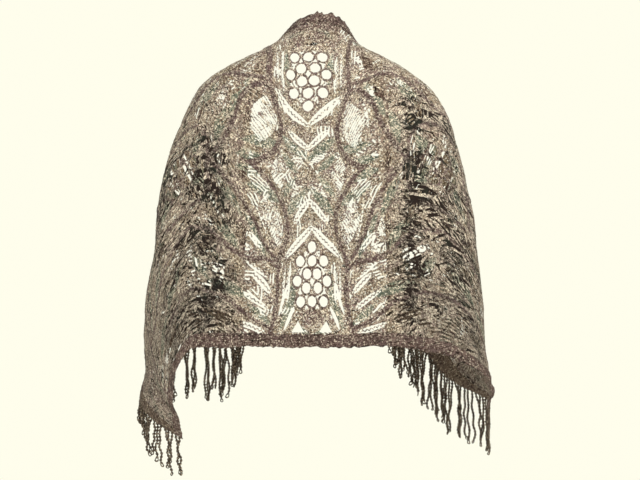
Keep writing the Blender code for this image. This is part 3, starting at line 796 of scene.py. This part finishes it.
def lace_panel(name, node, low, high):
    """One stretch of the lace between two places along the stole."""
    us = np.linspace(low, high, int(round((high - low) / LACE_STEP)) + 1)
    vs = np.linspace(NECK_BORDER - EDGE_LAP, WIDTH - HEM_BORDER + EDGE_LAP,
                     int(round(LACE_WIDTH / LACE_STEP)) + 1)
    u, v = [x.ravel() for x in np.meshgrid(us, vs, indexing="ij")]
    solid, raised, marks = lace_work(u, v)
    i, j = np.meshgrid(np.arange(len(us) - 1), np.arange(len(vs) - 1), indexing="ij")
    corner = (i * len(vs) + j).ravel()
    over = corner + len(vs)
    even = ((i + j) % 2 == 0).ravel()
    one = triangles(corner, over, np.where(even, over + 1, corner + 1))
    two = triangles(np.where(even, corner, over), over + 1, corner + 1)
    values, faces = pierced(dict(marks, u=u, v=v, raised=raised), solid, np.concatenate([one, two]))
    points = worn(values["u"], values["v"], values["raised"] - LACE_SINK)
    marks = {mark: values[mark] for mark in YARN_MARKS}
    marks["cut"] = np.stack([values["u"], values["v"], 0 * values["u"]], axis=1)
    return cloth_piece(name, node, points, faces, LACE_YARN, marks)


LACE_END = HALF_LENGTH - END_BAND
back_lace = lace_panel("back_lace", "lace_back", -BACK_HALF, BACK_HALF)
left_lace = lace_panel("left_fall_lace", "lace_left_fall", -LACE_END - SEAM_LAP, -BACK_HALF)
right_lace = lace_panel("right_fall_lace", "lace_right_fall", BACK_HALF, LACE_END + SEAM_LAP)

# The borders and end bands. Close bands of the same looped yarn, worked thick along both long edges
# and plain across the two ends, with a scalloped outer edge that stands up a little round the neck.
BORDER_YARN = looped_yarn("border yarn", dye(126, 106, 98), dye(104, 85, 82), BARK, dye(200, 186, 168),
                          (0.36, 0.13), 0.0)
BAND_YARN = looped_yarn("end band yarn", dye(120, 104, 90), dye(104, 88, 78), BARK, dye(190, 176, 152),
                        (0.34, 0.12), 0.0)
BORDER_RISE = 0.0017
BORDER_STEP = 0.0021
EDGE_ROUND = 0.006
SCALLOP = 0.0030
BUMP = 0.0011


def close_band(name, node, along, down, finish, scallops):
    """A thick strip of the cut: a bumpy skin on both sides that closes round its edges."""
    length, height = along[1] - along[0], down[1] - down[0]
    us = np.linspace(along[0], along[1], int(round(length / BORDER_STEP)) + 1)
    vs = np.linspace(down[0], down[1], max(9, int(round(height / BORDER_STEP))) + 1)
    grid_u, grid_v = np.meshgrid(us, vs, indexing="ij")
    across_u = (grid_u - along[0]) / length * 2 - 1
    across_v = (grid_v - down[0]) / height * 2 - 1
    nape = 1.0 + 0.8 * (down[0] == 0.0) * np.exp(-(grid_u / 0.09) ** 2)
    reach_u = scallops * SCALLOP * nape * patchy(grid_u, grid_v, 0.0052, 21) * across_v ** 4
    reach_v = scallops * SCALLOP * patchy(grid_u, grid_v, 0.0060, 22) * across_u ** 4
    u = (grid_u + reach_v * (np.abs(across_u) > 0.9)).ravel()
    v = (grid_v + reach_u).ravel()
    room = np.clip((1 - np.abs(across_v)) * height / EDGE_ROUND, 0, 1)
    room = np.minimum(room, np.clip((1 - np.abs(across_u)) * length / EDGE_ROUND, 0, 1)).ravel()
    puff = BORDER_RISE * np.sqrt(1 - (1 - room) ** 2)
    outer = worn(u, v, puff + BUMP * patchy(u, v, 0.0048, 23) * room)
    inner = worn(u, v, -puff - BUMP * patchy(u, v, 0.0048, 24) * room)

    # the outer skin, the inner one turned over, and the wall round the rim between them
    wide, tall = len(us), len(vs)
    i, j = np.meshgrid(np.arange(wide - 1), np.arange(tall - 1), indexing="ij")
    corner = (i * tall + j).ravel()
    top = np.concatenate([
        triangles(corner, corner + tall, corner + tall + 1),
        triangles(corner, corner + tall + 1, corner + 1),
    ])
    low = top[:, ::-1] + len(u)
    number = np.arange(wide * tall).reshape(wide, tall)
    rim = np.concatenate([number[:, 0], number[-1, 1:], number[-2::-1, -1], number[0, -2:0:-1]])
    ahead = np.roll(rim, -1)
    side = np.concatenate([
        triangles(rim, rim + len(u), ahead),
        triangles(ahead, rim + len(u), ahead + len(u)),
    ])
    cut = np.stack([u, v, 0 * u], axis=1)
    weft = v + 0.001 * patchy(u, v, 0.01, 25)
    marks = {"cut": np.concatenate([cut, cut + (0.0, 0.0, 0.02)]), "weft": np.concatenate([weft, weft])}
    return cloth_piece(name, node, np.concatenate([outer, inner]), np.concatenate([top, low, side]),
                       finish, marks)


WHOLE = (-HALF_LENGTH, HALF_LENGTH)
BETWEEN_BORDERS = (NECK_BORDER - SEAM_LAP, WIDTH - HEM_BORDER + SEAM_LAP)
neck_edge = close_band("neck_border_yarn", "neck_border", WHOLE, (0.0, NECK_BORDER), BORDER_YARN, 1.0)
hem_edge = close_band("hem_border_yarn", "hem_border", WHOLE, (WIDTH - HEM_BORDER, WIDTH), BORDER_YARN, 0.6)
left_band = close_band("left_band_yarn", "left_end_band", (-HALF_LENGTH, -LACE_END), BETWEEN_BORDERS,
                       BAND_YARN, 0.6)
right_band = close_band("right_band_yarn", "right_end_band", (LACE_END, HALF_LENGTH), BETWEEN_BORDERS,
                        BAND_YARN, 0.6)

# The fringe. Two-ply cords of the same yarn, each folded through the short edge and twisted, so that
# it ends in a small open loop. They hang straight down in uneven clumps of three.
FRINGE_LENGTH = 0.108
FRINGE_CORDS = 62
CORD_PITCH = (WIDTH - 0.008) / FRINGE_CORDS
PLY_RADIUS = 0.00130
PLY_SIDES = 5
TWIST_PITCH = 0.0135
STEPS_A_TURN = 10
# down, share of the length that shows, as the left cords are caught up behind the corner
LEFT_CORDS = np.array([
    (0.000, 1.00),
    (0.360, 1.00),
    (0.430, 0.45),
    (0.520, 0.42),
    (0.600, 0.66),
    (0.690, 0.78),
])
FRINGE_YARN = looped_yarn("fringe yarn", dye(126, 109, 91), dye(102, 88, 76), BARK, dye(206, 192, 168),
                          (0.30, 0.20), 0.0)


def cord_line(length, loop):
    """One yarn's way in a cord: down as the first ply, round the loop at the tip, and up as the second."""
    drop = np.linspace(0.0, length, int(length / TWIST_PITCH * STEPS_A_TURN))
    turn = 2 * math.pi * (length - drop) / TWIST_PITCH
    spread = PLY_RADIUS * 1.15
    first = np.stack([spread * np.cos(turn), spread * np.sin(turn), -drop], axis=1)
    second = np.stack([-spread * np.cos(turn), -spread * np.sin(turn), -drop], axis=1)[::-1]
    arc = np.linspace(0.0, math.pi, 8)[1:-1]
    eye = np.stack([(spread + loop * np.sin(arc)) * np.cos(arc), 0 * arc,
                    -length - loop * 1.6 * np.sin(arc)], axis=1)
    return np.concatenate([first, eye, second])


def hang(rolls, number, fallen, clump, sway):
    """How far a cord drifts along its edge, towards the middle one of its three, and swings out of it."""
    start, quick = rolls.uniform(0, 6), rolls.uniform(13.0, 19.0)
    drift = (1 - number % 3) * clump * 1.05 * CORD_PITCH * np.sin(1.6 * fallen) + sway * np.sin(2.4 * fallen)
    drift = drift + 0.0020 * (np.sin(quick * fallen + start) - math.sin(start)) * np.sqrt(fallen)
    drift = drift + 0.0038 * np.sin(4.2 * fallen + rolls.uniform(0, 6)) * fallen
    swing = 0.0034 * np.sin(3.6 * fallen + rolls.uniform(0, 6)) * fallen
    swing = swing + 0.0016 * (np.cos(quick * fallen + start) - math.cos(start)) * np.sqrt(fallen)
    return drift, swing


def ply(path, level, thick):
    """Corners of a yarn that follows a path, and their places on the yarn's own cut."""
    ahead = np.gradient(path, axis=0)
    ahead /= np.linalg.norm(ahead, axis=1, keepdims=True)
    flank = np.cross(ahead, level)
    flank /= np.linalg.norm(flank, axis=1, keepdims=True) + 1e-9
    over = np.cross(ahead, flank)
    around = np.arange(PLY_SIDES) / PLY_SIDES * 2 * math.pi
    ring = np.cos(around)[:, None] * flank[:, None] + np.sin(around)[:, None] * over[:, None]

    # the yarn's own cut runs down its length, so that its loops don't stretch
    run = np.concatenate([[0.0], np.cumsum(np.linalg.norm(np.diff(path, axis=0), axis=1))])
    cut = np.zeros(ring.shape)
    cut[..., 0] = 0.0012 * np.cos(around)
    cut[..., 1] = run[:, None] + 1.0
    cut[..., 2] = 0.0012 * np.sin(around)
    return (path[:, None] + thick[:, None, None] * ring).reshape(-1, 3), cut.reshape(-1, 3)


def fringe(name, node, side):
    """All the cords of one short edge."""
    rolls = np.random.default_rng(31 + side)
    points = []
    faces = []
    cuts = []
    groove_shade = []
    base = 0
    for number in range(FRINGE_CORDS):
        if number % 3 == 0:
            clump = rolls.uniform(-0.1, 1.0)
            sway = rolls.uniform(-0.0045, 0.0045)
        v = 0.004 + (number + 0.5) * CORD_PITCH + 0.10 * CORD_PITCH * rolls.uniform(-1, 1)
        root, ahead = worn(np.array([side * HALF_LENGTH] * 2), np.array([v, v + 0.003]), np.zeros(2))
        run = ahead - root
        run[2] = 0.0
        run /= np.linalg.norm(run)
        lean = np.array([-run[1], run[0], 0.0])
        length = FRINGE_LENGTH * (1.0 + rolls.uniform(-0.16, 0.08))
        if side < 0:
            length *= float(smooth(LEFT_CORDS, 1, v))
        line = cord_line(length, rolls.uniform(0.0022, 0.0052))
        spin = rolls.uniform(0, math.pi)
        x = line[:, 0] * math.cos(spin) - line[:, 1] * math.sin(spin)
        y = line[:, 0] * math.sin(spin) + line[:, 1] * math.cos(spin)
        drift, swing = hang(rolls, number, -line[:, 2] / length, clump, sway)
        path = root + np.outer(x + drift, run) + np.outer(y + swing, lean)
        path[:, 2] += line[:, 2] + 0.002

        # each ply swells where both lie side by side as seen from the back, and is painted darker in between
        # as shade in the groove
        turned = spin + math.atan2(run[1], run[0])
        bead = np.cos(4 * math.pi * (line[:, 2] + length) / TWIST_PITCH + 2 * turned)
        thick = PLY_RADIUS * (1.0 + 0.30 * bead + 0.10 * rolls.uniform(-1, 1, len(path)))
        tube, cut = ply(path, lean * math.cos(spin) - run * math.sin(spin), thick)
        points.append(tube)
        cuts.append(cut + (v, 0.0, 0.0))
        groove_shade.append(np.repeat(1.1 * (1.0 - bead), PLY_SIDES))
        i, j = np.meshgrid(np.arange(len(path) - 1), np.arange(PLY_SIDES), indexing="ij")
        one = (i * PLY_SIDES + j).ravel() + base
        two = (i * PLY_SIDES + (j + 1) % PLY_SIDES).ravel() + base
        faces.append(triangles(one, two, two + PLY_SIDES))
        faces.append(triangles(one, two + PLY_SIDES, one + PLY_SIDES))
        base += len(tube)
    cuts = np.concatenate(cuts)
    marks = {"cut": cuts, "weft": cuts[:, 1], "painted_shade_mark": np.concatenate(groove_shade)}
    return cloth_piece(name, node, np.concatenate(points), np.concatenate(faces), FRINGE_YARN, marks)


left_cords = fringe("left_fringe_cords", "left_fringe", -1)
right_cords = fringe("right_fringe_cords", "right_fringe", 1)

# The studio. A pale floor well below the hem, a bright even room, two large soft lights from the
# camera's side, one from the front and a small warm one inside the hollow, with the camera level with
# the middle of the shawl.
world = bpy.data.worlds.new("pale room")
bpy.context.scene.world = world
world.use_nodes = True
room_light = world.node_tree.nodes["Background"]
room_light.inputs["Color"].default_value = (1.0, 0.988, 0.84, 1.0)
seen = Thread(world.node_tree, None).node("ShaderNodeLightPath", {}, out="Is Camera Ray")
world.node_tree.links.new((0.26 + 0.74 * seen).socket, room_light.inputs["Strength"])

bpy.ops.mesh.primitive_circle_add(vertices=96, radius=1.6, fill_type="NGON", location=(0.0, 0.07, -1.25))
floor = bpy.context.object
floor.name = "floor"
pale = bpy.data.materials.new("pale floor")
pale.use_nodes = True
pale_paint = pale.node_tree.nodes["Principled BSDF"]
pale_paint.inputs["Base Color"].default_value = (0.86, 0.85, 0.82, 1.0)
pale_paint.inputs["Roughness"].default_value = 0.9
floor.data.materials.append(pale)

# place, size, power, turn in degrees
LIGHTS = [
    ((-1.5, -2.2, 0.9), 1.4, 45.0, (62.0, 0.0, -34.0)),
    ((1.6, -1.6, 1.2), 1.4, 58.0, (56.0, 0.0, 45.0)),
    ((0.4, 2.4, 1.0), 1.6, 50.0, (-60.0, 0.0, -10.0)),
]


def light(name, kind, place, power, colour):
    """A lamp and the object that holds it."""
    lamp = bpy.data.lights.new(name, kind)
    lamp.energy = power
    lamp.color = colour
    holder = bpy.data.objects.new(name, lamp)
    holder.location = place
    bpy.context.scene.collection.objects.link(holder)
    return holder


for number, (place, size, power, turn) in enumerate(LIGHTS):
    holder = light(f"soft light {number}", "AREA", place, power, (1.0, 0.968, 0.91))
    holder.data.size = size
    holder.rotation_euler = [math.radians(x) for x in turn]
holder = light("inside light", "POINT", (0.0, 0.085, -0.20), 0.9, (1.0, 0.93, 0.80))
holder.data.shadow_soft_size = 0.03
holder.visible_camera = False

eye = bpy.data.cameras.new("camera")
eye.sensor_width = 36.0
eye.lens = 69.6
camera = bpy.data.objects.new("camera", eye)
camera.location = (0.0105, -2.5305, -0.42)
camera.rotation_euler = (math.pi / 2, 0.0, 0.0)
bpy.context.scene.collection.objects.link(camera)
bpy.context.scene.camera = camera
bpy.context.scene.view_settings.view_transform = "Standard"
